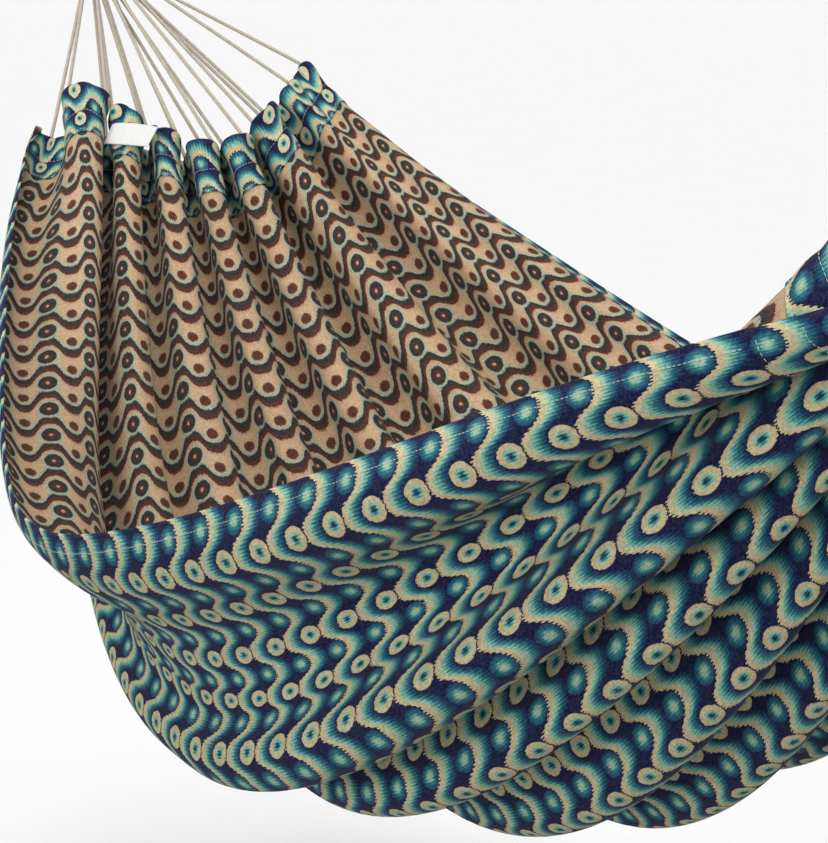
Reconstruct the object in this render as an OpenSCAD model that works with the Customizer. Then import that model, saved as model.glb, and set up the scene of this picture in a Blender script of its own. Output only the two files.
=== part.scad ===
// Cloth hammock with gathered ends, hung on cotton clew cords.
// The bed is one sheet of patterned cloth. Each end is folded over into a hem with a channel,
// and nine cords run through the channel and up to a bound rope eye that hangs in a rope loop.
// Origin: centre of the hook in the head loop. +X runs along the hang-line to the foot loop,
// +Z is up, and the near edge of the bed is on the -Y side. Millimetres.

/* [Bed cloth] */
// Length of the bed cloth, hem top to hem top
bed_length = 2050; // [1700:10:2500]
// Width of the bed cloth, edge to edge
bed_width = 1500; // [1250:10:1800]
// Thickness of one layer of cloth
cloth_thick = 1.6; // [1.2:0.1:2]
// Depth of the folded hem at each end
end_hem = 85; // [70:1:102]
// Depth of the cord channel inside the end hem
channel_depth = 47; // [38:1:57]
// Width of the folded hem along each side
side_hem = 18; // [14:1:22]

/* [Hang] */
// Distance along the hang-line from a hook to the corners of its hem
clew_reach = 400; // [330:5:480]
// Angle of the clew below the hang-line, in degrees
clew_dip = 33.9; // [28:0.1:40]
// Share of the bed length that the bed spans along the hang-line
span_share = 0.867; // [0.84:0.001:0.92]
// Sag of the near edge below the hem corners at the middle
rim_sag = 315; // [262:1:378]
// Outward curl of the near edge at the middle
lip = 27; // [0:1:60]
// Number of long pleats across the bed
pleats = 7; // [5:1:8]

/* [Cords and eyes] */
// Diameter of the clew cord
cord_dia = 5; // [4.2:0.1:5.6]
// Diameter of the rope in the loops and eyes
rope_dia = 12; // [10:0.5:14]
// Clear width inside the hanging loop
loop_gap = 32; // [27:1:40]
// Straight length of the hanging loop
loop_len = 60; // [50:1:80]
// Diameter of the binding cord
binding_dia = 4.2; // [3.5:0.1:5]
// Turns of the binding
binding_turns = 6; // [4:1:8]

/* [Care tag] */
// Length of the sewn tag
tag_len = 66; // [50:1:80]
// Height of the sewn tag
tag_high = 34; // [28:1:41]

/* [Hidden] */
$fn = 48;

gap = 0.3;
blue = [0.12, 0.27, 0.42];
beige = [0.76, 0.67, 0.55];
cream = [0.87, 0.82, 0.72];
white = [0.95, 0.95, 0.94];

// Sizes that follow the bed and the clew
len_k = bed_length / 2050;
wid_k = bed_width / 1500;
span = 2 * clew_reach + span_share * bed_length;
corner_drop = clew_reach * tan(clew_dip);
clew = [cos(clew_dip), 0, -sin(clew_dip)];
rise = [sin(clew_dip), 0, cos(clew_dip)];
across = [0, 1, 0];

// Hem line at an end: sideways place and slide down the clew slope, near edge to far edge
hem_line = [[-148, -34], [-88, 0], [-42, 50], [8, 104], [66, 106], [132, 42], [214, -38]] * wid_k;
// Section at the middle of the bed: sideways place and depth below the near edge
mid_line = [[-393, 0], [-330, 168], [-214, 221], [-18, 279], [181, 261], [350, 130], [448, -46]] * wid_k;
hem_tilt = 20 * wid_k;
belly_shift = 0.074;
gather_limit = 1.6;

// Cords: two strands each, evenly spaced along the hem
cords = 9;
strands = 2 * cords;
cells = 3 * strands;
cord_r = cord_dia / 2;
half = cloth_thick / 2;
cord_off = half + gap + cord_r + 0.4;
cord_sink = cord_r + 2.5;
hem_flat = half + gap + 0.2;
hem_wide = cord_off + cord_r + 1.3;
hem_low = end_hem - 0.4;
fold_gap = 1.2;
bed_rows = [0, end_hem / bed_length, 0.1, 0.23, 0.4, 0.5, 0.6, 0.77, 0.9, 1 - end_hem / bed_length, 1];
last_row = len(bed_rows) - 1;

// Loop, eye and binding, measured along the clew from the hook
rope_r = rope_dia / 2;
loop_r = loop_gap / 2 + rope_r;
loop_end = loop_len + loop_r;
link = rope_dia + 2 * gap;
pivot = loop_end - link;
eye_r = 1.34 * rope_dia;
eye_mid = pivot + eye_r;
eye_slant = 15;
leg_half = rope_r + 0.3;
leg_len = (eye_r * cos(eye_slant) - leg_half) / sin(eye_slant);
leg_end = eye_mid + eye_r * sin(eye_slant) + leg_len * cos(eye_slant);
strand_pitch = cord_dia + 0.8;
bundle_r = 2 * strand_pitch + cord_r;
strand_top = leg_end + rope_r * sin(eye_slant) + gap;
binding_r = max(bundle_r, leg_half + rope_r + 1.6) + gap + binding_dia / 2;
binding_pitch = binding_dia + 0.7;
binding_start = leg_end - 5;
strand_turn = binding_start + binding_pitch * binding_turns + binding_dia;
// Place of each strand in the six-sided bundle, in pitches, so that no two strands cross
bundle = [[-2, -1], [-2, 1], [-1, 1.5], [-1, -1.5], [-1, 0.5], [-1, -0.5], [0, -1], [0, 0], [1, -0.5],
    [0, 1], [0, -2], [0, 2], [1, -1.5], [1, 1.5], [1, 0.5], [2, -1], [2, 1], [2, 0]];

function unit(v) = v / norm(v);
function mix(a, b, f) = a + (b - a) * f;

// Smooth curve through evenly spaced points
function curve(p, u) =
    let (n = len(p) - 1, s = u * n, i = max(0, min(floor(s), n - 1)), f = s - i,
        a = i > 0 ? p[i - 1] : 2 * p[0] - p[1], b = p[i], c = p[i + 1],
        d = i + 2 <= n ? p[i + 2] : 2 * p[n] - p[n - 1])
    0.5 * (2 * b + (c - a) * f + (2 * a - 5 * b + 4 * c - d) * f * f
        + (3 * b - a - 3 * c + d) * f * f * f);

// How far a lengthwise thread has sagged, 0 at the hems and 1 at its lowest
function sagged(x, apex, power) =
    let (r = x < apex ? (apex - x) / apex : (x - apex) / (1 - apex), soft = 0.08)
    1 - pow((sqrt(r * r + soft * soft) - soft) / (sqrt(1 + soft * soft) - soft), power);

// Place along the span and share of the full sag: u across from the near edge, t along from the head
function inner(u) = 1 - pow(2 * u - 1, 2);
function along(u, t) = t - 0.05 * inner(u) * sin(360 * t);
function sag(u, t) = sagged(along(u, t), 0.5 + belly_shift * inner(u), 2 - 0.7 * pow(abs(2 * u - 1), 1.5));

// Bed without its pleats
function base(u, t) =
    let (x = along(u, t), q = sag(u, t),
        h = curve(hem_line, u), m = curve(mid_line, u),
        hx = clew_reach + clew[0] * h[1],
        hz = -corner_drop + hem_tilt * (2 * u - 1) + clew[2] * h[1],
        mz = -corner_drop - hem_tilt - rim_sag * len_k - m[1],
        curl = lip * wid_k * exp(-pow(u / 0.05, 2)) * pow(max(q, 0), 3))
    [hx + (span - 2 * hx) * x, mix(h[0], m[0], q) - curl, mix(hz, mz, q)];

// Pleat phase in degrees: wide pleats at both edges, narrow ones in the middle
function phase(u) = 124 + 360 * (pleats * u - 0.27 * sin(360 * u));
function phase_rate(u) = (phase(u + 0.001) - phase(u - 0.001)) / 0.002 * PI / 180;

// Share of the pleats that is left: a wide band under the near edge and a panel along the far edge lie almost flat
function bump(u, a, b) = pow(sin(180 * max(0, min(1, (u - a) / (b - a)))), 2);
function pleat_share(u, t) = 1 - 0.75 * bump(u, 0.03, 0.22) * max(0, sag(u, t)) - 0.9 * bump(u, 0.84, 1.02);

// Bed with its pleats: where the base is shorter than the cloth, the cloth waves in and out
function bed_point(u, t) =
    let (h = 0.001,
        du = (base(u + h, t) - base(u - h, t)) / (2 * h),
        dt = base(u, t + h) - base(u, t - h),
        n = unit(cross(dt, du)), e = unit(du),
        ratio = max(0.05, min(1, norm(du) / bed_width)),
        w = min(gather_limit, sqrt(8 * (1 - sqrt(ratio)))) * pleat_share(u, t),
        j1 = w / 2 * (1 - w * w / 8 + pow(w, 4) / 192),
        j2 = w * w / 8 * (1 - w * w / 12 + pow(w, 4) / 384),
        size = bed_width / phase_rate(u), ph = phase(u))
    base(u, t) + n * size * 2 * j1 * cos(ph) + e * size * j2 * sin(2 * ph);

// Columns of the bed: even, but for one at the inner edge of each side hem
function column(i) = i == 1 ? side_hem / bed_width : i == cells - 1 ? 1 - side_hem / bed_width : i / cells;

grid = [for (t = bed_rows) [for (i = [0 : cells]) bed_point(column(i), t)]];

// Inward direction at a grid point, lengthened at corners so that layers keep their distance
function inward(i, j) =
    let (p = grid[j][i],
        dt = grid[min(j + 1, last_row)][i] - grid[max(j - 1, 0)][i],
        a = unit(cross(dt, i > 0 ? p - grid[j][i - 1] : grid[j][1] - p)),
        b = unit(cross(dt, i < cells ? grid[j][i + 1] - p : p - grid[j][i - 1])),
        n = unit(a + b))
    n / max(0.6, n * b);

inwards = [for (j = [0 : last_row]) [for (i = [0 : cells]) inward(i, j)]];

function layer(j, i, off) = grid[j][i] + off * inwards[j][i];
// Point on an end hem: depth below the hem top, and distance inward from the bed cloth
function hem_point(end, i, depth, off) =
    let (top = end * last_row, low = end == 0 ? 1 : last_row - 1, f = depth / end_hem)
    mix(layer(top, i, off), layer(low, i, off), f);
function hem_mid(end, i, depth, off) =
    mix(hem_point(end, i, depth, off), hem_point(end, i + 1, depth, off), 0.5);

function joined(lists) = [for (l = lists) for (p = l) p];

// Faces of a sheet with two layers of points, over the cells that are kept
function sheet_faces(keep) =
    let (rows = len(keep), cols = len(keep[0]), w = cols + 1, n = w * (rows + 1))
    [for (j = [0 : rows - 1]) for (i = [0 : cols - 1]) if (keep[j][i])
        let (a = j * w + i, b = a + 1, c = b + w, d = a + w,
            low = j == 0 || !keep[j - 1][i], high = j == rows - 1 || !keep[j + 1][i],
            left = i == 0 || !keep[j][i - 1], right = i == cols - 1 || !keep[j][i + 1])
        each concat([[a, b, c], [a, c, d], [n + a, n + c, n + b], [n + a, n + d, n + c]],
            low ? [[a, n + a, n + b], [a, n + b, b]] : [],
            high ? [[d, c, n + c], [d, n + c, n + d]] : [],
            left ? [[a, d, n + d], [a, n + d, n + a]] : [],
            right ? [[b, n + b, n + c], [b, n + c, c]] : [])];

module sheet(first, second, keep) {
    polyhedron(concat(joined(first), joined(second)), sheet_faces(keep));
}

// Tube along a path, with rings that do not twist
function tangents(p) = [for (i = [0 : len(p) - 1])
    unit(unit(p[min(i + 1, len(p) - 1)] - p[max(i, 1) - (i == len(p) - 1 ? 1 : 0) - (i == 0 ? 1 : 0)])
        + (i > 0 && i < len(p) - 1 ? unit(p[i] - p[i - 1]) : [0, 0, 0]))];
function ring_sides(tan, i = 0, last = [0.31, 0.87, 0.39], out = []) =
    i == len(tan) ? out
    : let (n = unit(last - (last * tan[i]) * tan[i])) ring_sides(tan, i + 1, n, concat(out, [n]));

module tube(path, r, sides) {
    tan = tangents(path);
    side = ring_sides(tan);
    count = len(path);
    points = [for (k = [0 : count - 1]) for (s = [0 : sides - 1])
        path[k] + r * (cos(360 * s / sides) * side[k] + sin(360 * s / sides) * cross(tan[k], side[k]))];
    faces = concat([[for (s = [0 : sides - 1]) s]],
        [for (k = [0 : count - 2]) for (s = [0 : sides - 1])
            let (a = k * sides + s, b = k * sides + (s + 1) % sides)
            each [[a, a + sides, b + sides], [a, b + sides, b]]],
        [[for (s = [sides - 1 : -1 : 0]) (count - 1) * sides + s]]);
    polyhedron(points, faces);
}

module at_end(end) {
    if (end == 0) children();
    else translate([span, 0, 0]) mirror([1, 0, 0]) children();
}

// Frame of a clew: local X runs down the clew, local Y across, local Z up
module on_clew(end) {
    at_end(end) rotate([0, clew_dip, 0]) children();
}

module bed_cloth() {
    keep = [for (j = [1 : last_row]) [for (i = [1 : cells]) true]];
    color(blue)
        sheet([for (j = [0 : last_row]) [for (i = [0 : cells]) layer(j, i, half)]],
            [for (j = [0 : last_row]) [for (i = [0 : cells]) layer(j, i, -half)]], keep);
}

// Folded hem: over the bed's top edge and down its inner face to the lower seam,
// open at the top where each strand comes out of the channel
module end_hem_band(end) {
    room = [[-fold_gap - cloth_thick, -half], [-fold_gap - cloth_thick, hem_wide + cloth_thick],
        [hem_low, hem_flat + cloth_thick]];
    lining = [[-fold_gap, -half], [-fold_gap, hem_wide], [hem_low, hem_flat]];
    order = end == 0 ? [0, 1, 2] : [2, 1, 0];
    open_row = end == 0 ? 0 : 1;
    keep = [for (j = [0, 1]) [for (i = [0 : cells - 1]) j != open_row || i % 3 != 1]];
    color(blue)
        sheet([for (r = order) [for (i = [0 : cells]) hem_point(end, i, room[r][0], room[r][1])]],
            [for (r = order) [for (i = [0 : cells]) hem_point(end, i, lining[r][0], lining[r][1])]], keep);
}

// Folded strip along one long edge, between the two end hems
module side_hem_band(side) {
    low = half + gap;
    high = low + cloth_thick;
    rows = [1 : last_row - 1];
    columns = side == 0 ? [0, 1] : [cells - 1, cells];
    keep = [for (j = [2 : last_row - 1]) [true]];
    color(blue)
        sheet([for (j = rows) [for (i = columns) layer(j, i, high)]],
            [for (j = rows) [for (i = columns) layer(j, i, low)]], keep);
}

// Place of a strand in the bundle, some way down the clew from the hook
function in_bundle(end, s, along) =
    let (p = along * clew + bundle[s][0] * strand_pitch * cos(30) * across
        + bundle[s][1] * strand_pitch * rise)
    end == 0 ? p : [span - p[0], p[1], p[2]];

// One cord: down from the binding, through the hem channel and back up
function cord_path(end, k) = let (s = 2 * k, i = 6 * k) concat(
    [in_bundle(end, s, strand_top), in_bundle(end, s, strand_turn),
        hem_mid(end, i + 1, -9, cord_off), hem_mid(end, i + 1, cord_sink, cord_off)],
    [for (c = [i + 2 : i + 4]) hem_point(end, c, cord_sink, cord_off)],
    [hem_mid(end, i + 4, cord_sink, cord_off), hem_mid(end, i + 4, -9, cord_off),
        in_bundle(end, s + 1, strand_turn), in_bundle(end, s + 1, strand_top)]);

module clew_cord(end, k) {
    color(cream) tube(cord_path(end, k - 1), cord_r, 8);
}

// Binding wound round the throat of the eye and the tops of the strands, as one tube
binding_path = [for (k = [0 : 24 * binding_turns]) let (a = 15 * k)
    [binding_start + binding_pitch * k / 24, binding_r * cos(a), binding_r * sin(a)]];
binding_gap = min([for (k = [0 : 24]) for (m = [k + 18 : k + 30])
    norm(binding_path[k] - binding_path[m])]) - binding_dia;
echo(least_gap_in_binding = binding_gap);

module binding(end) {
    color(cream) on_clew(end) tube(binding_path, binding_dia / 2, 6);
}

// Rope eye that the strands are bound to: a bend over the hanging loop and two slanted legs
eye_path = let (turn = 90 + eye_slant,
    bend = [for (k = [0 : 14]) let (a = 180 - turn + 2 * turn * k / 14)
        [eye_mid + eye_r * cos(a), 0, eye_r * sin(a)]],
    reach = [leg_len * cos(eye_slant), 0, -leg_len * sin(eye_slant)])
    concat([bend[0] + reach], bend, [bend[14] + [reach[0], 0, -reach[2]]]);

module clew_eye(end) {
    color(cream) on_clew(end) tube(eye_path, rope_r, 12);
}

// Closed rope loop that goes over the hook
module hanging_loop(end) {
    color(cream) on_clew(end) {
        rotate([0, 0, 90]) rotate_extrude(angle = 180) translate([loop_r, 0]) circle(rope_r);
        translate([loop_len, 0, 0]) rotate([0, 0, -90])
            rotate_extrude(angle = 180) translate([loop_r, 0]) circle(rope_r);
        for (s = [-1, 1]) translate([0, s * loop_r, 0]) rotate([0, 90, 0]) cylinder(h = loop_len, r = rope_r);
    }
}

// Blank tag: one end lies on the hem, the other stands off past a fold
module care_tag() {
    thick = 0.8;
    column = 14;
    depths = [channel_depth - 17, channel_depth + 17];
    offs = [for (d = depths) mix(hem_wide, hem_flat, d / hem_low) + cloth_thick + 2 * gap];
    a = hem_point(0, column, depths[0], offs[0]);
    b = hem_point(0, column + 1, depths[0], offs[0]);
    low = hem_point(0, column, depths[1], offs[1]);
    e = unit(b - a);
    down = unit((low - a) - ((low - a) * e) * e);
    out = cross(down, e);
    face = [a, a + tag_len * e, a + tag_len * e + tag_high * down, a + tag_high * down];
    color(white) polyhedron(concat(face, [for (p = face) p + thick * out]),
        [[3, 2, 1, 0], [4, 5, 6, 7], [1, 5, 4, 0], [2, 6, 5, 1], [3, 7, 6, 2], [0, 4, 7, 3]]);
}

bed_cloth();
end_hem_band(0);  // head_hem
end_hem_band(1);  // foot_hem
side_hem_band(0);  // near_side_hem
side_hem_band(1);  // far_side_hem
care_tag();
clew_cord(0, 1);  // head_cord_1
clew_cord(0, 2);  // head_cord_2
clew_cord(0, 3);  // head_cord_3
clew_cord(0, 4);  // head_cord_4
clew_cord(0, 5);  // head_cord_5
clew_cord(0, 6);  // head_cord_6
clew_cord(0, 7);  // head_cord_7
clew_cord(0, 8);  // head_cord_8
clew_cord(0, 9);  // head_cord_9
clew_cord(1, 1);  // foot_cord_1
clew_cord(1, 2);  // foot_cord_2
clew_cord(1, 3);  // foot_cord_3
clew_cord(1, 4);  // foot_cord_4
clew_cord(1, 5);  // foot_cord_5
clew_cord(1, 6);  // foot_cord_6
clew_cord(1, 7);  // foot_cord_7
clew_cord(1, 8);  // foot_cord_8
clew_cord(1, 9);  // foot_cord_9
binding(0);  // head_binding
binding(1);  // foot_binding
clew_eye(0);  // head_clew_eye
clew_eye(1);  // foot_clew_eye
hanging_loop(0);  // head_hanging_loop
hanging_loop(1);  // foot_hanging_loop
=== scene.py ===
"""Looks of a gathered-end cloth hammock: figured weave, sewn hems, twisted cords and rope loops."""
import math

import bpy
import numpy as np
from mathutils import Matrix, Vector


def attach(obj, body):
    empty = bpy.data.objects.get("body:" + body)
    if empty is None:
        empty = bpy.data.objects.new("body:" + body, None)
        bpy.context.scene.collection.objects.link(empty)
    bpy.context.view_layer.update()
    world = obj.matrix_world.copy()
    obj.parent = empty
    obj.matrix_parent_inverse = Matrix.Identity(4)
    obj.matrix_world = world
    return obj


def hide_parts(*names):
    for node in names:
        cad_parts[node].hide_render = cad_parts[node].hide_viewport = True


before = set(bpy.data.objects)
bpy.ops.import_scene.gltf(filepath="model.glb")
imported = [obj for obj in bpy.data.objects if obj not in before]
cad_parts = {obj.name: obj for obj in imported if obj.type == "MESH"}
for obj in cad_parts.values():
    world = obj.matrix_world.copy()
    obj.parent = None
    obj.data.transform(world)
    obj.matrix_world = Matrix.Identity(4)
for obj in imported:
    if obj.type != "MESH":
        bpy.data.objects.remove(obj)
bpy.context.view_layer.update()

MM = 0.001
TURN = 2 * math.pi
ENDS = ("head", "foot")
SIDES = ("near", "far")

# Sizes of the CAD source, in millimetres
BED_LENGTH = 2050.0
BED_WIDTH = 1500.0
CLOTH_THICK = 1.6
END_HEM = 85.0
CHANNEL_DEPTH = 47.0
SIDE_HEM = 18.0
CLEW_REACH = 400.0
CLEW_DIP = math.radians(33.9)
SPAN_SHARE = 0.867
RIM_SAG = 315.0
LIP = 27.0
PLEATS = 7
CORD_DIA = 5.0
ROPE_DIA = 12.0
LOOP_GAP = 32.0
LOOP_LEN = 60.0
BINDING_DIA = 4.2
BINDING_TURNS = 6
TAG_LEN = 66.0
TAG_HIGH = 34.0
GAP = 0.3

# Lines across the bed, near edge to far edge. At a hem: sideways place and slide down the clew.
# At the middle: sideways place and depth below the near edge.
HEM_LINE = np.array([[-148, -34], [-88, 0], [-42, 50], [8, 104], [66, 106], [132, 42], [214, -38]], float)
MID_LINE = np.array([[-393, 0], [-330, 168], [-214, 221], [-18, 279],
                     [181, 261], [350, 130], [448, -46]], float)
HEM_TILT = 20.0
SPAN = 2 * CLEW_REACH + SPAN_SHARE * BED_LENGTH
CORNER_DROP = CLEW_REACH * math.tan(CLEW_DIP)
CLEW = np.array([math.cos(CLEW_DIP), 0, -math.sin(CLEW_DIP)])
RISE = np.array([math.sin(CLEW_DIP), 0, math.cos(CLEW_DIP)])
ACROSS = np.array([0, 1.0, 0])

# Shape of the bed between those lines
BELLY_SHIFT = 0.074
GATHER_LIMIT = 1.6
TIGHTEST = 0.05
BUNCHING = 0.05
SAG_SOFT = 0.08
SAG_POWER = 2.0
SAG_POWER_DROP = 0.7
LIP_WIDTH = 0.05
PLEAT_START = 0.344
PLEAT_CROWDING = 0.27
NEAR_BAND = (0.03, 0.22)
NEAR_CALM = 0.75
FAR_PANEL = (0.84, 1.02)
FAR_CALM = 0.9
# Steps in u and t over which slopes are taken
SLOPE_STEP = 0.001
FRAME_STEP = 0.0008

# Cords, loop, eye and binding; places are measured along the clew from the hook
CORDS = 9
STRANDS = 2 * CORDS
CELLS = 3 * STRANDS
CORD_R = CORD_DIA / 2
CORD_OFF = CLOTH_THICK / 2 + GAP + CORD_R + 0.4
CORD_SINK = CORD_R + 2.5
CORD_LEAVE = 9.0
CHANNEL_POINTS = 9
ROPE_R = ROPE_DIA / 2
LOOP_R = LOOP_GAP / 2 + ROPE_R
PIVOT = LOOP_LEN + LOOP_R - ROPE_DIA - 2 * GAP
EYE_R = 1.34 * ROPE_DIA
EYE_MID = PIVOT + EYE_R
EYE_SLANT = math.radians(15)
LEG_LEN = (EYE_R * math.cos(EYE_SLANT) - ROPE_R - GAP) / math.sin(EYE_SLANT)
LEG_END = EYE_MID + EYE_R * math.sin(EYE_SLANT) + LEG_LEN * math.cos(EYE_SLANT)
STRAND_PITCH = CORD_DIA + 0.8
STRAND_TOP = LEG_END + ROPE_R * math.sin(EYE_SLANT) + GAP
BINDING_R = max(2 * STRAND_PITCH + CORD_R, 2 * ROPE_R + 1.9) + GAP + BINDING_DIA / 2
BINDING_PITCH = BINDING_DIA + 0.7
BINDING_START = LEG_END - 5
STRAND_TURN = BINDING_START + BINDING_PITCH * BINDING_TURNS + BINDING_DIA
# Place of each strand in the six-sided bundle, in pitches
BUNDLE = [(-2, -1), (-2, 1), (-1, 1.5), (-1, -1.5), (-1, 0.5), (-1, -0.5), (0, -1), (0, 0), (1, -0.5),
          (0, 1), (0, -2), (0, 2), (1, -1.5), (1, 1.5), (1, 0.5), (2, -1), (2, 1), (2, 0)]

# Twist of the ropes: length of a full turn, points around and step along
LOBES = 3
CORD_TWIST = {"lay": 15.0, "sides": 12, "step": 2.4}
ROPE_TWIST = {"lay": 34.0, "sides": 30, "step": 1.5, "groove": 0.22}
BINDING_TWIST = {"lay": 13.0, "sides": 12, "step": 1.6}
LEAST_RINGS = 8
SIDE_HINT = np.array([0.31, 0.87, 0.39])
ARC_POINTS = 25
EYE_POINTS = 31
BINDING_POINTS = 40

# The shown bed: half its thickness, and faces along and across
BED_HALF = 0.7
ROWS = 220
COLUMNS = 380

# Section of a folded hem: depth below its top, and distance inward from the bed
END_FOLD = np.array([[6, -0.3], [4, -0.8], [2, -1.3], [0, -1.5], [-1.6, -1.0], [-2.4, 0.8], [-2.6, 3.5],
                     [-2.0, 6.2], [0.5, 7.8], [4, 8.3], [9, 8.0], [15, 6.9], [22, 5.2], [30, 3.8],
                     [38, 2.7], [44, 2.0], [47, 1.7], [50, 2.0], [55, 2.7], [62, 3.3], [69, 3.2],
                     [75, 2.6], [79, 2.0], [82, 1.8], [84, 2.1], [86, 2.4]])
SIDE_FOLD = np.array([[5, -0.3], [3.5, -0.8], [2, -1.2], [0.4, -1.4], [-0.9, -1.0], [-1.6, 0.2],
                      [-1.2, 1.6], [0.2, 2.4], [2, 2.6], [5, 2.5], [10, 2.1], [13, 1.7], [14.5, 1.7],
                      [16.5, 2.0], [18, 2.2]])
LINING = 1.1
HEM_JOIN = 2.0

# Seams: depth of each row and its distance inward, then the size of a stitch
END_SEAMS = ((CHANNEL_DEPTH, 1.9), (END_HEM - 3, 2.0))
SIDE_SEAM = (13.8, 1.9)
SEAM_OUT = BED_HALF + 0.2
SEAM_POINTS = 900
END_SEAM_MARGIN = 0.004
SIDE_SEAM_MARGIN = 0.044
STITCH_PITCH = 4.6
STITCH_LEN = 3.2
STITCH_R = 0.34
STITCH_SIDES = 6
# Rings of a stitch: place in its length, then size and lift in its radius
STITCH_AT = np.array([-0.5, -0.34, 0, 0.34, 0.5])
STITCH_SIZE = np.array([0.45, 0.95, 1.1, 0.95, 0.45])
STITCH_LIFT = np.array([-0.5, 0.1, 0.35, 0.1, -0.5])

# Tag: cell of the hem where it starts, distances inward at its top and foot, and half its thickness
TAG_CELL = 14
TAG_OFF = 5.8
TAG_FOOT_OFF = 5.0
TAG_HALF = 0.25
TAG_COLUMNS = 34
TAG_ROWS = 14
# How far the tag bulges, is pressed down at its sewn end and curls at its free corner
TAG_BULGE = 3.2
TAG_PRESS = 2.0
TAG_SEWN = 0.12
TAG_CURL = 2.2

# The woven figure: size of a repeat, where it starts at the edge and at the top, and yarns in a repeat
REPEAT_ACROSS = 58.0
REPEAT_ALONG = 51.9
PATTERN_EDGE = 15.0
PATTERN_TOP = 0.45
YARNS_ACROSS = 40
YARNS_ALONG = 32

# Shapes in one repeat of the figure
WAVE_STEEP = 1.3
WAVE_SWING = 0.25
WAVE_PLACE = 0.53
FIRST_OVAL = (0.182, 0.248)
SECOND_OVAL = (0.188, 0.24)
JAG = 0.036
JAG_PICKS = 13
COMB = 0.7
STRAY = 0.5
STRAY_PICKS = 8

# Camera, floor and world
CAMERA_AT = (3.658, -1.138, -0.075)
CAMERA_AZIMUTH = math.radians(65.4)
CAMERA_ELEVATION = math.radians(10.0)
CAMERA_LENS = 113.4
CAMERA_SENSOR = 36.0
CAMERA_FAR = 1000.0
FLOOR_Z = -1.35
FLOOR_SIZE = 400.0
# Brightness of the world by height, from 0 straight down over 0.5 at the horizon to 1 straight up
WORLD_LEVELS = ((0.42, 0.25), (0.49, 0.94), (0.51, 0.94), (0.6, 0.41))

# Small folds. A wave has its counts across and along, its start and its height in mm
PUCKER = 2.6
PUCKER_FADE = 130
HEM_WAVES = ((41, 9, 1.1, 1.7), (29, -14, 0.0, 1.3))
HEM_WAVES_FADE = 70
CREASE_COUNT = 12
CREASE_SHARE = 0.8
FOLDS_PER_END = 16
FOLD_WIDTH = 8.5
FOLD_START = 0.03
rng = np.random.default_rng(11)
CREASES = [(rng.uniform(5, 24), rng.uniform(-1.6, 1.6), rng.uniform(0, TURN), rng.uniform(0.4, 1.0))
           for _ in range(CREASE_COUNT)]
# A sharp fold has its end, place across, lean, reach along and height in mm
FOLDS = [(end, rng.uniform(0.16, 0.95), rng.uniform(-0.12, 0.12), rng.uniform(0.25, 0.6),
          rng.uniform(-3.4, 3.4)) for end in (0, 1) for _ in range(FOLDS_PER_END)]


def unit(v):
    return v / np.linalg.norm(v, axis=-1, keepdims=True)


def mix(a, b, f):
    return a + (b - a) * f


def ease(x, low, high):
    f = np.clip((x - low) / (high - low), 0, 1)
    return f * f * (3 - 2 * f)


def bump(x, low, high):
    return np.sin(math.pi * np.clip((x - low) / (high - low), 0, 1)) ** 2


# The bed's surface, as in the CAD source: u runs across from the near edge, t along from the head

def curve(points, u):
    """Smooth curve through evenly spaced points."""
    n = len(points) - 1
    i = np.clip(np.floor(u * n), 0, n - 1).astype(int)
    f = (u * n - i)[..., None]
    padded = np.vstack([2 * points[0] - points[1], points, 2 * points[-1] - points[-2]])
    a, b, c, d = (padded[i + k] for k in range(4))
    bend = (2 * a - 5 * b + 4 * c - d) * f ** 2
    return 0.5 * (2 * b + (c - a) * f + bend + (3 * b - a - 3 * c + d) * f ** 3)


def sagged(x, apex, power):
    """1 at the apex and 0 at both ends, with a soft top."""
    r = np.where(x < apex, (apex - x) / apex, (x - apex) / (1 - apex))
    full = math.sqrt(1 + SAG_SOFT * SAG_SOFT) - SAG_SOFT
    return 1 - ((np.sqrt(r * r + SAG_SOFT * SAG_SOFT) - SAG_SOFT) / full) ** power


def along_span(u, t):
    return t - BUNCHING * (1 - (2 * u - 1) ** 2) * np.sin(TURN * t)


def sag(u, t):
    edge = np.abs(2 * u - 1)
    apex = 0.5 + BELLY_SHIFT * (1 - edge * edge)
    return sagged(along_span(u, t), apex, SAG_POWER - SAG_POWER_DROP * edge ** 1.5)


def base(u, t):
    """The bed without its pleats."""
    x = along_span(u, t)
    q = sag(u, t)
    hem = curve(HEM_LINE, u)
    middle = curve(MID_LINE, u)
    hem_x = CLEW_REACH + CLEW[0] * hem[..., 1]
    hem_z = -CORNER_DROP + HEM_TILT * (2 * u - 1) + CLEW[2] * hem[..., 1]
    mid_z = -CORNER_DROP - HEM_TILT - RIM_SAG - middle[..., 1]
    curl = LIP * np.exp(-(u / LIP_WIDTH) ** 2) * np.maximum(q, 0) ** 3
    return np.stack([hem_x + (SPAN - 2 * hem_x) * x, mix(hem[..., 0], middle[..., 0], q) - curl,
                     mix(hem_z, mid_z, q)], axis=-1)


def phase(u):
    return PLEAT_START * TURN + TURN * (PLEATS * u - PLEAT_CROWDING * np.sin(TURN * u))


def pleat_share(u, t):
    """Share of the full pleats, calmed in the band under the near edge and in the far panel."""
    return 1 - NEAR_CALM * bump(u, *NEAR_BAND) * np.maximum(sag(u, t), 0) - FAR_CALM * bump(u, *FAR_PANEL)


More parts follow.
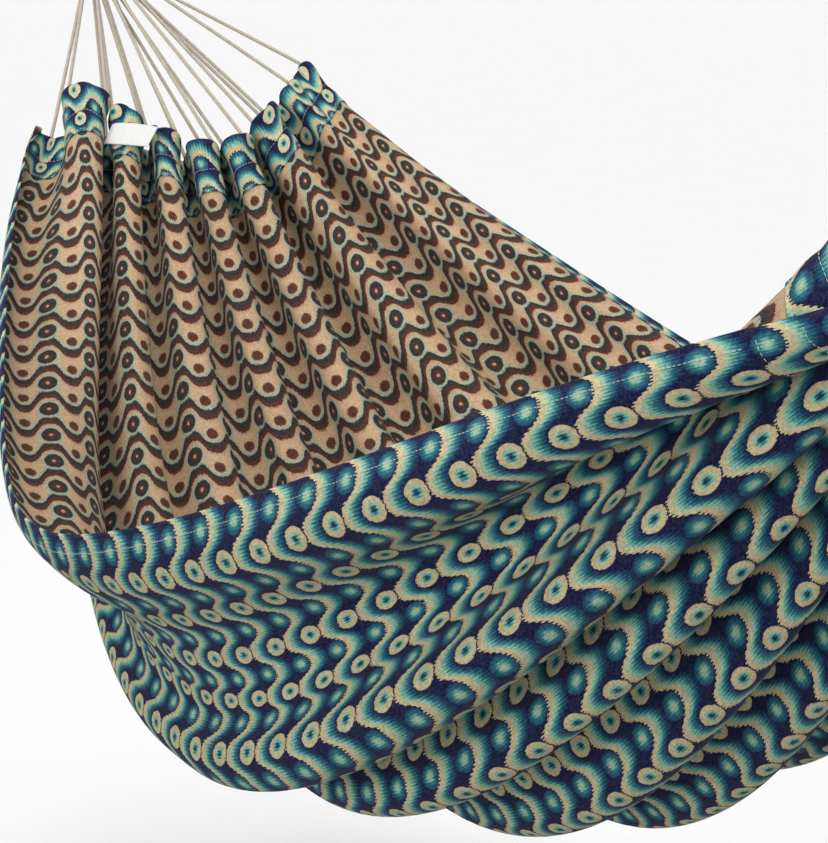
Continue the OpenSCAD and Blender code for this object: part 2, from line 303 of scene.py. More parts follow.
def bed_point(u, t):
    """Place on the pleated bed. The pleats are a meander curve, by the series of its Bessel functions."""
    h = SLOPE_STEP
    du = (base(u + h, t) - base(u - h, t)) / (2 * h)
    dt = base(u, t + h) - base(u, t - h)
    normal = unit(np.cross(dt, du))
    ratio = np.clip(np.linalg.norm(du, axis=-1) / BED_WIDTH, TIGHTEST, 1)
    w = np.minimum(GATHER_LIMIT, np.sqrt(8 * (1 - np.sqrt(ratio)))) * pleat_share(u, t)
    j1 = w / 2 * (1 - w ** 2 / 8 + w ** 4 / 192)
    j2 = w ** 2 / 8 * (1 - w ** 2 / 12 + w ** 4 / 384)
    size = BED_WIDTH / ((phase(u + h) - phase(u - h)) / (2 * h))
    out = normal * (size * 2 * j1 * np.cos(phase(u)))[..., None]
    return base(u, t) + out + unit(du) * (size * j2 * np.sin(2 * phase(u)))[..., None]


# Small folds on the bed, and places on and near the cloth

def waves(table, u, t):
    return sum(size * np.cos(TURN * (across * u + along * t) + start) for across, along, start, size in table)


def sharp_folds(u, t):
    """Narrow creases that start near a hem and die out along the bed."""
    total = 0
    for end, start, lean, reach, size in FOLDS:
        away = t if end == 0 else 1 - t
        gap = (u - start - lean * away) * BED_WIDTH / FOLD_WIDTH
        total = total + size * np.exp(-gap ** 2) * bump(away, FOLD_START, reach)
    return total


def wrinkle(u, t):
    """Small folds on top of the pleats: puckers at the hems, sharp folds and long soft creases."""
    from_end = np.maximum(np.minimum(t, 1 - t) * BED_LENGTH, 0)
    pucker = PUCKER * np.cos(TURN * (STRANDS * u + 0.5)) * np.exp(-from_end / PUCKER_FADE)
    pucker = pucker + np.exp(-from_end / HEM_WAVES_FADE) * waves(HEM_WAVES, u, t)
    soft = CREASE_SHARE * waves(CREASES, u, t) * np.sin(math.pi * np.clip(t, 0, 1))
    return pucker + sharp_folds(u, t) + soft


def cloth_point(u, t):
    h = SLOPE_STEP
    du = bed_point(u + h, t) - bed_point(u - h, t)
    dt = bed_point(u, t + h) - bed_point(u, t - h)
    return bed_point(u, t) + unit(np.cross(dt, du)) * wrinkle(u, t)[..., None]


def cloth_frame(u, t):
    """Place on the cloth, with its directions along, across and inward."""
    u, t = np.broadcast_arrays(np.asarray(u, float), np.asarray(t, float))
    h = FRAME_STEP
    along = unit(cloth_point(u, t + h) - cloth_point(u, t - h))
    side = unit(cloth_point(u + h, t) - cloth_point(u - h, t))
    return cloth_point(u, t), along, side, unit(np.cross(along, side))


def end_frame(end, u, depth):
    """The cloth's frame at a depth below the top of an end hem."""
    share = np.maximum(depth, 0) / BED_LENGTH
    return cloth_frame(u, share if end == 0 else 1 - share)


def side_frame(side, t, depth):
    """The cloth's frame at a depth in from a side edge."""
    share = np.maximum(depth, 0) / BED_WIDTH
    return cloth_frame(share if side == 0 else 1 - share, t)


def end_place(end, u, depth, off):
    """Place at an end hem: depth below its top, and distance inward from the bed."""
    depth, off = np.asarray(depth, float), np.asarray(off, float)
    p, along, _, inward = end_frame(end, u, depth)
    down = along if end == 0 else -along
    return p + inward * off[..., None] + down * np.minimum(depth, 0)[..., None]


def side_place(side, t, depth, off):
    """Place at a side hem: depth in from the edge, and distance inward from the bed."""
    depth, off = np.asarray(depth, float), np.asarray(off, float)
    p, _, across, inward = side_frame(side, t, depth)
    into = across if side == 0 else -across
    return p + inward * off[..., None] + into * np.minimum(depth, 0)[..., None]


def weave_uv(across, along):
    """Place in the woven figure, in repeats, from places on the flat cloth in mm."""
    a = (across - PATTERN_EDGE) / REPEAT_ACROSS + 0.5
    b = along / REPEAT_ALONG + PATTERN_TOP
    return np.stack(np.broadcast_arrays(a, b), -1)


# Meshes

def add_object(name, verts, faces, materials, uv=None, face_slots=None):
    """Mesh from points in mm. The uv is given for each point, or for each corner of each face."""
    mesh = bpy.data.meshes.new(name)
    mesh.from_pydata((np.asarray(verts) * MM).tolist(), [], faces)
    for material in materials:
        mesh.materials.append(material)
    if face_slots is not None:
        mesh.polygons.foreach_set("material_index", face_slots)
    mesh.polygons.foreach_set("use_smooth", [True] * len(mesh.polygons))
    if uv is not None:
        if len(uv) == len(verts):
            corners = np.zeros(len(mesh.loops), int)
            mesh.loops.foreach_get("vertex_index", corners)
            uv = np.asarray(uv, float)[corners]
        layer = mesh.uv_layers.new(name="weave")
        layer.data.foreach_set("uv", np.asarray(uv, float).ravel())
    mesh.update()
    obj = bpy.data.objects.new(name, mesh)
    bpy.context.scene.collection.objects.link(obj)
    return obj


def sheet_object(name, front, back, uv, materials):
    """Closed sheet with a front and a back layer of points; the back has the last material."""
    rows, cols = front.shape[:2]
    place = np.arange(rows * cols).reshape(rows, cols)
    a, b, c, d = place[:-1, :-1], place[1:, :-1], place[1:, 1:], place[:-1, 1:]
    quads = np.stack([a, b, c, d], -1).reshape(-1, 4)
    rim = np.concatenate([place[0, :], place[1:, -1], place[-1, -2::-1], place[-2:0:-1, 0]])
    after = np.roll(rim, -1)
    n = rows * cols
    walls = np.stack([rim, after, after + n, rim + n], -1)
    faces = np.concatenate([quads, quads[:, ::-1] + n, walls])
    slots = np.zeros(len(faces), int)
    slots[len(quads):2 * len(quads)] = len(materials) - 1
    verts = np.concatenate([front.reshape(-1, 3), back.reshape(-1, 3)])
    uv = np.concatenate([uv.reshape(-1, 2)] * 2)
    return add_object(name, verts, faces.tolist(), materials, uv, slots)


def arc_lengths(points):
    return np.concatenate([[0], np.cumsum(np.linalg.norm(np.diff(points, axis=0), axis=1))])


def sample(line, reach, marks):
    """Points of a line at marks of its length."""
    return np.stack([np.interp(marks, reach, line[:, k]) for k in range(3)], 1)


def smooth_path(points, rounds=3, cut=0.25):
    """Polyline with its corners cut, its two ends kept."""
    for _ in range(rounds):
        near = mix(points[:-1], points[1:], cut)
        far = mix(points[:-1], points[1:], 1 - cut)
        inner = np.stack([near, far], 1).reshape(-1, 3)[1:-1]
        points = np.vstack([points[:1], inner, points[-1:]])
    return points


def ring_frames(points, closed):
    """Two directions square to a path at each point, carried along it without twist."""
    ahead = np.roll(points, -1, 0) - points
    back = points - np.roll(points, 1, 0)
    if not closed:
        ahead[-1] = back[-1]
        back[0] = ahead[0]
    tangent = unit(unit(ahead) + unit(back))
    side = np.zeros_like(tangent)
    last = SIDE_HINT
    for k, t in enumerate(tangent):
        last = last - (last @ t) * t
        last = last / np.linalg.norm(last)
        side[k] = last
    return side, np.cross(tangent, side)


def corner_uv(along, angle, turns, spin):
    """Coordinates along and around a rope for the four corners of each of its faces."""
    around = (angle[None, :] - spin * along[:, None]) / TURN
    grid = np.stack(np.broadcast_arrays(along[:, None] * turns, around), -1)
    return np.stack([grid[:-1, :-1], grid[:-1, 1:], grid[1:, 1:], grid[1:, :-1]], 2).reshape(-1, 2)


def tube_faces(count, sides, closed):
    """Faces of a tube from its rings of points; an open tube gets a face at each end."""
    rings = np.arange(count * sides).reshape(count, sides)
    start = rings if closed else rings[:-1]
    follow = np.roll(rings, -1, 0) if closed else rings[1:]
    quads = np.stack([start, np.roll(start, -1, 1), np.roll(follow, -1, 1), follow], -1).reshape(-1, 4)
    if closed:
        return quads.tolist()
    return quads.tolist() + [rings[0, ::-1].tolist(), rings[-1].tolist()]


def rope_object(name, path, radius, material, lay, sides, step, groove=0.2, closed=False):
    """Twisted rope along a path: its strands show as lobes that turn with the lay."""
    reach = arc_lengths(path)
    length = reach[-1]
    count = max(LEAST_RINGS, int(round(length / step)))
    points = sample(path, reach, np.linspace(0, length, count + 1))
    turns, drift = length / lay, 0.0
    if closed:
        points = points[:-1]
        turns = max(1, round(turns))
    side, up = ring_frames(points, closed)
    if closed:
        drift = math.atan2(np.dot(side[-1], up[0]), np.dot(side[-1], side[0]))
    count = len(points)
    along = np.linspace(0, 1, count + 1 if closed else count)
    angle = np.linspace(0, TURN, sides + 1)
    spin = TURN * turns + drift
    uv = corner_uv(along, angle, turns, spin)
    if not closed:
        uv = np.vstack([uv, np.zeros((2 * sides, 2))])
    along, angle = along[:count, None], angle[None, :-1]
    size = radius * (1 - groove + groove * np.abs(np.cos(LOBES / 2 * (angle - spin * along))))
    turned = angle - drift * along
    spoke = np.cos(turned)[..., None] * side[:, None, :] + np.sin(turned)[..., None] * up[:, None, :]
    verts = points[:, None, :] + size[..., None] * spoke
    return add_object(name, verts.reshape(-1, 3), tube_faces(count, sides, closed), [material], uv)


def stitch_points(points, outward):
    """Rings of points of the stitches along a line of places, with the outward direction at each."""
    angle = np.arange(STITCH_SIDES) * TURN / STITCH_SIDES
    reach = arc_lengths(points)
    marks = np.arange(STITCH_PITCH, reach[-1] - STITCH_PITCH, STITCH_PITCH)
    at = sample(points, reach, marks)
    up = unit(sample(outward, reach, marks))
    go = unit(sample(points, reach, marks + 1) - at)
    cross = unit(np.cross(up, go))
    ring = at[:, None, :] + go[:, None, :] * (STITCH_AT * STITCH_LEN)[None, :, None] \
        + up[:, None, :] * (STITCH_LIFT * STITCH_R)[None, :, None]
    spoke = np.cos(angle)[None, :, None] * cross[:, None, :] \
        + np.sin(angle)[None, :, None] * up[:, None, :]
    return ring[:, :, None, :] + spoke[:, None, :, :] * (STITCH_SIZE * STITCH_R)[None, :, None, None]


def stitch_object(name, runs, material):
    """Rows of short thread stitches."""
    verts = np.concatenate([stitch_points(*run) for run in runs])
    count, rings = verts.shape[:2]
    place = np.arange(verts.size // 3).reshape(count, rings, STITCH_SIDES)
    low, high = place[:, :-1], place[:, 1:]
    quads = np.stack([low, np.roll(low, -1, 2), np.roll(high, -1, 2), high], -1).reshape(-1, 4)
    faces = quads.tolist() + place[:, 0, ::-1].tolist() + place[:, -1].tolist()
    return add_object(name, verts.reshape(-1, 3), faces, [material])


# Materials

def rgb(red, green, blue):
    """Linear colour from the 0 to 255 values seen on a screen."""
    return tuple(v / 12.92 if v <= 0.04045 else ((v + 0.055) / 1.055) ** 2.4
                 for v in (red / 255, green / 255, blue / 255)) + (1.0,)


class Graph:
    """A material and a short way to write its nodes."""

    def __init__(self, name, roughness, specular, sheen):
        self.material = bpy.data.materials.new(name)
        self.material.use_nodes = True
        self.tree = self.material.node_tree
        self.shader = self.tree.nodes["Principled BSDF"]
        self.shader.inputs["Roughness"].default_value = roughness
        self.shader.inputs["Specular IOR Level"].default_value = specular
        self.shader.inputs["Sheen Weight"].default_value = sheen
        self.shader.inputs["Sheen Roughness"].default_value = 0.5

    def put(self, socket, value):
        if isinstance(value, bpy.types.NodeSocket):
            self.tree.links.new(value, socket)
        else:
            socket.default_value = value

    def node(self, kind, **settings):
        made = self.tree.nodes.new(kind)
        for key, value in settings.items():
            setattr(made, key, value)
        return made

    def math(self, operation, *values):
        made = self.node("ShaderNodeMath", operation=operation)
        for socket, value in zip(made.inputs, values):
            self.put(socket, value)
        return made.outputs[0]

    def steps(self, value, count):
        """Whole steps of a value, count of them in 1."""
        return self.math("FLOOR", self.math("MULTIPLY", value, count))

    def ramp(self, value, *stops):
        made = self.node("ShaderNodeValToRGB")
        elements = made.color_ramp.elements
        while len(elements) < len(stops):
            elements.new(0.5)
        for element, (place, colour) in zip(elements, stops):
            element.position = place
            element.color = colour
        self.put(made.inputs["Fac"], value)
        return made.outputs["Color"]

    def blend(self, factor, a, b, kind="MIX"):
        made = self.node("ShaderNodeMix", data_type="RGBA", blend_type=kind)
        self.put(made.inputs["Factor"], factor)
        self.put(made.inputs["A"], a)
        self.put(made.inputs["B"], b)
        return made.outputs["Result"]

    def speckle(self, x, y):
        made = self.node("ShaderNodeTexWhiteNoise", noise_dimensions="2D")
        pair = self.node("ShaderNodeCombineXYZ")
        self.put(pair.inputs[0], x)
        self.put(pair.inputs[1], y)
        self.tree.links.new(pair.outputs[0], made.inputs["Vector"])
        return made.outputs["Value"]

    def noise(self, vector, scale, detail=3.0):
        made = self.node("ShaderNodeTexNoise")
        made.inputs["Scale"].default_value = scale
        made.inputs["Detail"].default_value = detail
        self.tree.links.new(vector, made.inputs["Vector"])
        return made.outputs["Fac"]

    def bump(self, height, strength, distance):
        made = self.node("ShaderNodeBump")
        made.inputs["Strength"].default_value = strength
        made.inputs["Distance"].default_value = distance
        self.tree.links.new(height, made.inputs["Height"])
        self.tree.links.new(made.outputs["Normal"], self.shader.inputs["Normal"])

    def uv(self):
        made = self.node("ShaderNodeUVMap", uv_map="weave")
        parts = self.node("ShaderNodeSeparateXYZ")
        self.tree.links.new(made.outputs[0], parts.inputs[0])
        return made.outputs[0], parts.outputs[0], parts.outputs[1]

    def colour(self, value):
        self.put(self.shader.inputs["Base Color"], value)


def oval(graph, a, b, size):
    """Distance from the middle of an oval that repeats with the figure; 1 on its edge."""
    x = graph.math("DIVIDE", graph.math("WRAP", a, 0.5, -0.5), size[0])
    y = graph.math("DIVIDE", graph.math("WRAP", b, 0.5, -0.5), size[1])
    squares = graph.math("ADD", graph.math("MULTIPLY", x, x), graph.math("MULTIPLY", y, y))
    return graph.math("SQRT", squares)


def weave_fields(graph, a, b):
    """The figured weave: how far past the wave's edge, the two kinds of oval and each yarn's own shift."""
    yarn = graph.steps(a, YARNS_ACROSS)
    jag = graph.math("SUBTRACT", graph.speckle(yarn, graph.steps(b, JAG_PICKS)), 0.5)
    toothed = graph.math("ADD", b, graph.math("MULTIPLY", jag, JAG))
    round_wave = graph.math("COSINE", graph.math("MULTIPLY", a, TURN))
    wave = graph.math("TANH", graph.math("MULTIPLY", round_wave, WAVE_STEEP))
    edge = graph.math("MULTIPLY_ADD", wave, -WAVE_SWING / math.tanh(WAVE_STEEP), WAVE_PLACE)
    past = graph.math("FRACT", graph.math("SUBTRACT", toothed, edge))
    first = oval(graph, a, toothed, FIRST_OVAL)
    second = oval(graph, graph.math("ADD", a, 0.5), graph.math("ADD", toothed, 0.5), SECOND_OVAL)
    comb = graph.math("MULTIPLY_ADD", graph.math("MODULO", yarn, 2.0), COMB, -COMB / 2)
    stray = graph.math("SUBTRACT", graph.speckle(yarn, graph.steps(b, STRAY_PICKS)), 0.5)
    teeth = graph.math("MULTIPLY_ADD", stray, STRAY, comb)
    return past, first, second, teeth


def inside(graph, value, limit=1.0, soft=0.05):
    """1 where the value is under the limit and 0 where it is over, with a soft edge."""
    made = graph.node("ShaderNodeMapRange")
    graph.put(made.inputs["Value"], value)
    made.inputs["From Min"].default_value = limit - soft
    made.inputs["From Max"].default_value = limit + soft
    made.inputs["To Min"].default_value = 1.0
    made.inputs["To Max"].default_value = 0.0
    return made.outputs[0]


def shaded(graph, value, teeth, size, start):
    """The value with the yarns' own shifts added, from where the shading starts."""
    share = graph.math("SUBTRACT", 1.0, inside(graph, value, start, 0.03))
    return graph.math("MULTIPLY_ADD", graph.math("MULTIPLY", teeth, share), size, value)


def finish_weave(graph, vector, a, b, colour, grain, strength):
    """Gives the figure its yarns: uneven colour, a little fluff and a woven relief."""
    worn, fluffy, rough = 0.16, 0.09, 0.12
    fine = graph.speckle(graph.steps(a, 2 * YARNS_ACROSS), graph.steps(b, 2 * YARNS_ALONG))
    coarse = graph.speckle(graph.steps(a, YARNS_ACROSS / 1.5), graph.steps(b, YARNS_ALONG / 1.2))
    patches = graph.math("MULTIPLY_ADD", graph.noise(vector, 0.55), worn, -worn / 2)
    speckles = graph.math("MULTIPLY_ADD", coarse, grain, graph.math("MULTIPLY", fine, grain))
    light = graph.math("ADD", graph.math("ADD", speckles, 1 - grain), patches)
    tint = graph.node("ShaderNodeCombineColor")
    for socket in tint.inputs:
        graph.put(socket, light)
    woven = graph.blend(1.0, colour, tint.outputs[0], "MULTIPLY")
    fluff = graph.math("MULTIPLY", graph.math("MULTIPLY", coarse, fine), fluffy)
    graph.colour(graph.blend(fluff, woven, rgb(150, 152, 156)))
    warp = graph.math("PINGPONG", graph.math("MULTIPLY", a, YARNS_ACROSS), 0.5)
    weft = graph.math("PINGPONG", graph.math("MULTIPLY", b, YARNS_ALONG), 0.5)
    height = graph.math("ADD", graph.math("MULTIPLY", warp, weft), graph.math("MULTIPLY", fine, rough))
    graph.bump(height, strength, 0.0012)
    return graph.material


def outer_weave():
    """Outer face: a cream to navy wave with cream rings and blue ovals."""
    navy, blue, deep, rim = rgb(16, 21, 60), rgb(19, 63, 96), rgb(14, 52, 74), rgb(29, 84, 106)
    teal, aqua, pale, cream = rgb(43, 116, 125), rgb(126, 183, 164), rgb(172, 190, 159), rgb(200, 184, 144)
    graph = Graph("weave_outside", roughness=0.9, specular=0.1, sheen=0.04)
    vector, a, b = graph.uv()
    past, first, second, teeth = weave_fields(graph, a, b)
    band = shaded(graph, past, teeth, size=0.075, start=0.1)
    colour = graph.ramp(band, (0.0, cream), (0.088, cream), (0.12, pale), (0.19, aqua), (0.29, teal),
                        (0.39, blue), (0.49, navy), (0.985, navy), (0.99, cream), (1.0, cream))
    core = shaded(graph, first, teeth, size=0.16, start=0.1)
    ring = graph.ramp(core, (0.0, deep), (0.14, deep), (0.26, teal), (0.42, aqua), (0.56, pale),
                      (0.62, cream))
    halo = shaded(graph, second, teeth, size=0.16, start=0.1)
    glow = graph.ramp(halo, (0.0, cream), (0.12, pale), (0.34, aqua), (0.56, teal), (0.8, rim), (1.0, blue))
    colour = graph.blend(inside(graph, second), colour, glow)
    colour = graph.blend(inside(graph, first, 1.13, 0.06), colour, navy)
    colour = graph.blend(inside(graph, first, 1.0, 0.03), colour, ring)
    return finish_weave(graph, vector, a, b, colour, grain=0.34, strength=0.55)


def inner_weave():
    """Inner face: the same figure in tan, grey and brown."""
    tan, pink, mint = rgb(189, 159, 126), rgb(182, 143, 115), rgb(160, 162, 140)
    grey, brown, dot = rgb(48, 46, 43), rgb(81, 46, 35), rgb(192, 148, 118)
    dark_brown, light_brown = rgb(84, 46, 34), rgb(122, 80, 60)
    graph = Graph("weave_inside", roughness=0.92, specular=0.08, sheen=0.04)
    vector, a, b = graph.uv()
    past, first, second, teeth = weave_fields(graph, a, b)
    band = shaded(graph, past, teeth, size=0.03, start=0.05)
    colour = graph.ramp(band, (0.0, grey), (0.14, grey), (0.165, brown), (0.285, brown), (0.31, pink),
                        (0.42, tan), (0.82, tan), (0.89, mint), (0.985, mint), (0.99, grey))
    eye = graph.ramp(first, (0.0, dot), (0.15, dot), (0.24, brown), (0.42, brown), (0.52, grey), (1.0, grey))
    stained = shaded(graph, second, teeth, size=0.5, start=0.3)
    seed = graph.ramp(stained, (0.0, dark_brown), (0.6, brown), (1.0, light_brown))
    colour = graph.blend(inside(graph, first, 1.36, 0.1), colour, mint)
    colour = graph.blend(inside(graph, first, 1.03, 0.04), colour, eye)
    colour = graph.blend(inside(graph, second, 0.66, 0.07), colour, seed)
    return finish_weave(graph, vector, a, b, colour, grain=0.3, strength=0.5)


def cotton(name, light, dark, strength):
    """Twisted cotton: fibres that run with the twist, with painted shade in the grooves between the strands.
    """
    graph = Graph(name, roughness=0.9, specular=0.15, sheen=0.3)
    vector, _, around = graph.uv()
    fibres = graph.node("ShaderNodeMapping")
    fibres.inputs["Scale"].default_value = (2.0, 14.0, 1.0)
    graph.tree.links.new(vector, fibres.inputs["Vector"])
    fine = graph.noise(fibres.outputs[0], 6.0, 4.0)
    stretch = graph.noise(vector, 1.3)
    # painted shade: the colour is darker in the grooves and lighter on the strands' crowns
    crown_light_groove_shade = graph.math("ABSOLUTE", graph.math("COSINE", graph.math("MULTIPLY", around, LOBES / 2 * TURN)))
    mixed = graph.math("MULTIPLY_ADD", stretch, 0.35, graph.math("MULTIPLY", fine, 0.45))
    mixed = graph.math("MULTIPLY_ADD", graph.math("SQRT", crown_light_groove_shade), 0.3, graph.math("SUBTRACT", mixed, 0.12))
    graph.colour(graph.ramp(mixed, (0.3, dark), (0.7, light)))
    graph.bump(fine, strength, 0.0008)
    return graph.material


def plain_cloth(name, light, dark, scale, roughness=0.85):
    """Plain tape, thread or floor with a fine even grain."""
    graph = Graph(name, roughness, specular=0.2, sheen=0.1)
    place = graph.node("ShaderNodeTexCoord").outputs["Object"]
    grain = graph.noise(place, scale, 4.0)
    graph.colour(graph.ramp(grain, (0.3, dark), (0.7, light)))
    graph.bump(grain, 0.2, 0.0004)
    return graph.material


OUTSIDE = outer_weave()
INSIDE = inner_weave()
CORD_COTTON = cotton("cord_cotton", rgb(206, 196, 178), rgb(150, 139, 120), strength=0.5)
ROPE_COTTON = cotton("rope_cotton", rgb(204, 193, 172), rgb(150, 138, 117), strength=0.6)
THREAD = plain_cloth("seam_thread", rgb(206, 204, 190), rgb(178, 176, 162), scale=900)
TAPE = plain_cloth("tag_tape", rgb(226, 226, 224), rgb(206, 206, 203), scale=700)
FLOOR = plain_cloth("floor_paper", rgb(252, 252, 252), rgb(250, 250, 250), scale=3, roughness=0.95)


def keep(obj, body="hammock", stands_for=()):
    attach(obj, body)
    if stands_for:
        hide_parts(*stands_for)
    return obj


# Cords

def at_end(end, points):
    """Points of the head end, mirrored for the foot end."""
    points = np.array(points, float)
    if end == 1:
        points[..., 0] = SPAN - points[..., 0]
    return points


def on_clew(end, local):
    """Points given along the clew, across it and square to both."""
    local = np.asarray(local, float)
    return at_end(end, local[:, :1] * CLEW + local[:, 1:2] * ACROSS + local[:, 2:3] * RISE)


def column(i):
    """Place across the bed of a line of the CAD grid; the outer ones lie at the side hems."""
    if i == 1:
        return SIDE_HEM / BED_WIDTH
    if i == CELLS - 1:
        return 1 - SIDE_HEM / BED_WIDTH
    return i / CELLS


def strand_exit(s):
    return (column(3 * s + 1) + column(3 * s + 2)) / 2


def in_bundle(end, s, along):
    wide, high = BUNDLE[s]
    return on_clew(end, [[along, wide * STRAND_PITCH * math.cos(math.pi / 6), high * STRAND_PITCH]])[0]


def cord_path(end, k):
    """Down one strand, through the hem's channel and up the next strand."""
    first, second = 2 * k, 2 * k + 1
    exits = strand_exit(first), strand_exit(second)
    hidden = [end_place(end, u, CORD_SINK, CORD_OFF) for u in np.linspace(*exits, CHANNEL_POINTS)]
    leave = [end_place(end, u, -CORD_LEAVE, CORD_OFF) for u in exits]
    top = [in_bundle(end, first, STRAND_TOP), in_bundle(end, first, STRAND_TURN)]
    back = [in_bundle(end, second, STRAND_TURN), in_bundle(end, second, STRAND_TOP)]
    return np.array(top + [leave[0]] + hidden + [leave[1]] + back)


def add_cords():
    for end, label in enumerate(ENDS):
        for k in range(CORDS):
            name = f"{label}_cord_{k + 1}"
            path = smooth_path(cord_path(end, k))
            cord = rope_object(f"{name}_twisted", path, CORD_R, CORD_COTTON, **CORD_TWIST)
            keep(cord, stands_for=[name])


# Rope loops, eyes and bindings

def arc(centre, radius, start, stop, count):
    angle = np.linspace(start, stop, count)
    return np.stack([centre + radius * np.cos(angle), radius * np.sin(angle)], 1)


def loop_path():
    half = math.pi / 2
    top = arc(0, LOOP_R, half, 3 * half, ARC_POINTS)
    low = arc(LOOP_LEN, LOOP_R, -half, half, ARC_POINTS)
    line = np.vstack([top, low, top[:1]])
    return np.column_stack([line, np.zeros(len(line))])


def eye_path():
    turn = math.pi / 2 + EYE_SLANT
    bend = arc(EYE_MID, EYE_R, math.pi - turn, math.pi + turn, EYE_POINTS)
    reach = np.array([LEG_LEN * math.cos(EYE_SLANT), LEG_LEN * math.sin(EYE_SLANT)])
    line = np.vstack([bend[0] + reach * (1, -1), bend, bend[-1] + reach])
    return np.column_stack([line[:, 0], np.zeros(len(line)), line[:, 1]])


def binding_path():
    angle = np.linspace(0, TURN * BINDING_TURNS, BINDING_POINTS * BINDING_TURNS + 1)
    return np.column_stack([BINDING_START + BINDING_PITCH * angle / TURN,
                            BINDING_R * np.cos(angle), BINDING_R * np.sin(angle)])


def add_ropes():
    for end, label in enumerate(ENDS):
        loop = rope_object(f"{label}_hanging_rope", on_clew(end, loop_path()), ROPE_R, ROPE_COTTON,
                           closed=True, **ROPE_TWIST)
        keep(loop, "hanging_loops", [f"{label}_hanging_loop"])
        eye = rope_object(f"{label}_eye_rope", on_clew(end, eye_path()), ROPE_R, ROPE_COTTON, **ROPE_TWIST)
        keep(eye, stands_for=[f"{label}_clew_eye"])
        winding = rope_object(f"{label}_bound_cord", on_clew(end, binding_path()), BINDING_DIA / 2,
                              ROPE_COTTON, **BINDING_TWIST)
        keep(winding, stands_for=[f"{label}_binding"])


# Cloth

def add_bed():
    u = np.linspace(0, 1, COLUMNS + 1)[None, :]
    t = np.linspace(0, 1, ROWS + 1)[:, None]
    p, _, _, inward = cloth_frame(u, t)
    uv = weave_uv(u * BED_WIDTH, t * BED_LENGTH)
    bed = sheet_object("bed_weave", p + BED_HALF * inward, p - BED_HALF * inward, uv, [INSIDE, OUTSIDE])
    return keep(bed, stands_for=["bed_cloth"])


def end_uv(end, u, reach):
    return weave_uv(u * BED_WIDTH, -reach if end == 0 else BED_LENGTH + reach)


def side_uv(side, t, reach):
    return weave_uv(-reach if side == 0 else BED_WIDTH + reach, t * BED_LENGTH)


def fold_sheet(node, which, place, uv_of, profile, steps, turned):
    """Folded strip: its shown face follows the profile, its lining lies a little under that."""
    slope = np.gradient(profile, axis=0)
    lining = profile + LINING * unit(np.column_stack([slope[:, 1], -slope[:, 0]]))
    shown, under = (place(which, *np.broadcast_arrays(steps[None, :], face[:, :1], face[:, 1:]))
                    for face in (profile, lining))
    uv = uv_of(which, steps[None, :], (arc_lengths(profile) - profile[0, 0])[:, None])
    if turned:
        shown, under, uv = shown[::-1], under[::-1], uv[::-1]
    hem = sheet_object(f"{node}_weave", shown, under, uv, [OUTSIDE, INSIDE])
    return keep(hem, stands_for=[node])


def add_end_hems():
    steps = np.linspace(0, 1, 3 * COLUMNS // 2 + 1)
    return [fold_sheet(f"{label}_hem", end, end_place, end_uv, END_FOLD, steps, end == 1)
            for end, label in enumerate(ENDS)]


def add_side_hems():
    low = (END_HEM + HEM_JOIN) / BED_LENGTH
    steps = np.linspace(low, 1 - low, 2 * ROWS + 1)
    return [fold_sheet(f"{label}_side_hem", side, side_place, side_uv, SIDE_FOLD, steps, side == 0)
            for side, label in enumerate(SIDES)]


def seam_runs(which, place, frame_at, line, depth, inner_off):
    """A seam's two rows, on the inner and the outer face: places, and the outward direction at each."""
    inward = frame_at(which, line, depth)[3]
    spot = np.full_like(line, depth)
    return [(place(which, line, spot, np.full_like(line, off)), way * inward)
            for off, way in ((inner_off, 1), (-SEAM_OUT, -1))]


def add_stitches():
    across = np.linspace(END_SEAM_MARGIN, 1 - END_SEAM_MARGIN, SEAM_POINTS)
    along = np.linspace(SIDE_SEAM_MARGIN, 1 - SIDE_SEAM_MARGIN, SEAM_POINTS)
    rows = []
    for end, label in enumerate(ENDS):
        runs = [run for seam in END_SEAMS for run in seam_runs(end, end_place, end_frame, across, *seam)]
        rows.append(keep(stitch_object(f"{label}_hem_stitches", runs, THREAD)))
    for side, label in enumerate(SIDES):
        runs = seam_runs(side, side_place, side_frame, along, *SIDE_SEAM)
        rows.append(keep(stitch_object(f"{label}_side_stitches", runs, THREAD)))
    return rows


def add_tag():
    """Blank tag: sewn to the hem at one end, bent off the cloth past a fold."""
    top, foot = CHANNEL_DEPTH - TAG_HIGH / 2, CHANNEL_DEPTH + TAG_HIGH / 2
    corner = end_place(0, column(TAG_CELL), top, TAG_OFF)
    level = unit(end_place(0, column(TAG_CELL + 1), top, TAG_OFF) - corner)
    fall = end_place(0, column(TAG_CELL), foot, TAG_FOOT_OFF) - corner
    down = unit(fall - (fall @ level) * level)
    out = np.cross(down, level)
    x = np.linspace(0, 1, TAG_COLUMNS)[None, :]
    y = np.linspace(0, 1, TAG_ROWS)[:, None]
    bulge = TAG_BULGE * np.sin(math.pi * x) * (1 - 0.5 * y)
    lift = bulge - TAG_PRESS * (1 - ease(x, 0, TAG_SEWN)) + TAG_CURL * x ** 3 * y
    flat = corner + level * (x * TAG_LEN)[..., None] + down * (y * TAG_HIGH)[..., None]
    p = flat + out * lift[..., None]
    normal = unit(np.cross(np.gradient(p, axis=0), np.gradient(p, axis=1)))
    uv = np.stack(np.broadcast_arrays(x, y), -1)
    tag = sheet_object("blank_tag", p + TAG_HALF * normal, p - TAG_HALF * normal, uv, [TAPE])
    keep(tag, stands_for=["care_tag"])


# Camera, floor and light

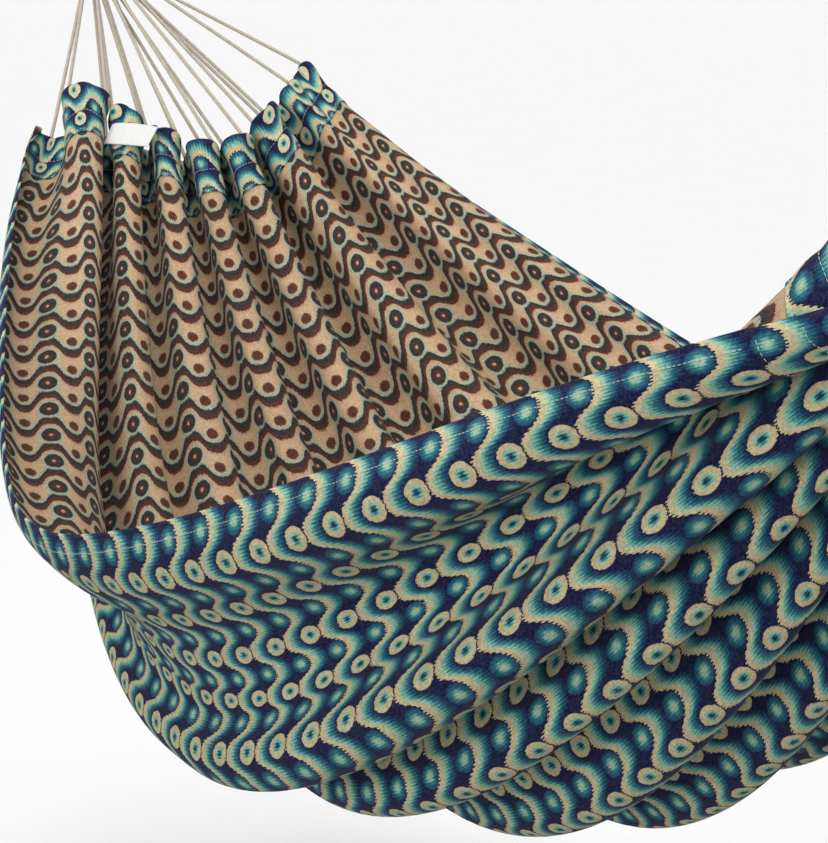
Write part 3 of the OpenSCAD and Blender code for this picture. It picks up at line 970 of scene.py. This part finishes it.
def add_camera():
    data = bpy.data.cameras.new("photo_view")
    data.lens = CAMERA_LENS
    data.sensor_width = CAMERA_SENSOR
    data.clip_end = CAMERA_FAR
    camera = bpy.data.objects.new("photo_view", data)
    bpy.context.scene.collection.objects.link(camera)
    flat = math.cos(CAMERA_ELEVATION)
    back = Vector((math.sin(CAMERA_AZIMUTH) * flat, -math.cos(CAMERA_AZIMUTH) * flat,
                   math.sin(CAMERA_ELEVATION)))
    right = Vector((0, 0, 1)).cross(back).normalized()
    up = back.cross(right)
    camera.matrix_world = Matrix.Translation(CAMERA_AT) @ Matrix((right, up, back)).transposed().to_4x4()
    bpy.context.scene.camera = camera


def add_stage():
    size = FLOOR_SIZE
    corners = [(-size, -size), (size, -size), (size, size), (-size, size)]
    mesh = bpy.data.meshes.new("floor")
    mesh.from_pydata([(x, y, FLOOR_Z) for x, y in corners], [], [(0, 1, 2, 3)])
    mesh.materials.append(FLOOR)
    floor = bpy.data.objects.new("floor", mesh)
    bpy.context.scene.collection.objects.link(floor)
    floor.visible_diffuse = False  # so the cloth gets the world's dim light from below, not the floor's


def hang_lamp(data, place, target):
    lamp = bpy.data.objects.new(data.name, data)
    lamp.location = place
    lamp.rotation_euler = (Vector(target) - Vector(place)).to_track_quat("-Z", "Y").to_euler()
    bpy.context.scene.collection.objects.link(lamp)


def add_light(name, place, target, size, power):
    data = bpy.data.lights.new(name, "AREA")
    data.shape = "DISK"
    data.size = size
    data.energy = power
    hang_lamp(data, place, target)


def add_sun(name, place, target, strength, angle):
    data = bpy.data.lights.new(name, "SUN")
    data.energy = strength
    data.angle = math.radians(angle)
    hang_lamp(data, place, target)


def add_world():
    """Even studio light: as bright as the floor at the horizon, dimmer higher up and dim from below."""
    world = bpy.data.worlds.new("studio")
    world.use_nodes = True
    nodes, links = world.node_tree.nodes, world.node_tree.links
    height = nodes.new("ShaderNodeSeparateXYZ")
    links.new(nodes.new("ShaderNodeTexCoord").outputs["Generated"], height.inputs[0])
    share = nodes.new("ShaderNodeMapRange")
    share.inputs["From Min"].default_value = -1.0
    links.new(height.outputs["Z"], share.inputs["Value"])
    fade = nodes.new("ShaderNodeValToRGB")
    while len(fade.color_ramp.elements) < len(WORLD_LEVELS):
        fade.color_ramp.elements.new(0.5)
    for element, (place, level) in zip(fade.color_ramp.elements, WORLD_LEVELS):
        element.position = place
        element.color = (level, level, level, 1)
    links.new(share.outputs[0], fade.inputs["Fac"])
    links.new(fade.outputs["Color"], nodes["Background"].inputs["Color"])
    bpy.context.scene.world = world


add_camera()
add_cords()
add_ropes()
bed = add_bed()
end_hems = add_end_hems()
side_hems = add_side_hems()
stitches = add_stitches()
add_tag()
add_stage()
add_world()
add_light("key", (2.2, -0.3, 3.4), (1.4, 0, -0.4), size=1.7, power=32)
add_sun("sky", (1.2, -0.4, 2.2), (1.2, 0, -0.6), strength=1.47, angle=26)
add_sun("front", (3.8, -2.8, -0.25), (1.7, -0.3, -0.6), strength=2.15, angle=40)
bpy.context.scene.view_settings.view_transform = "Standard"
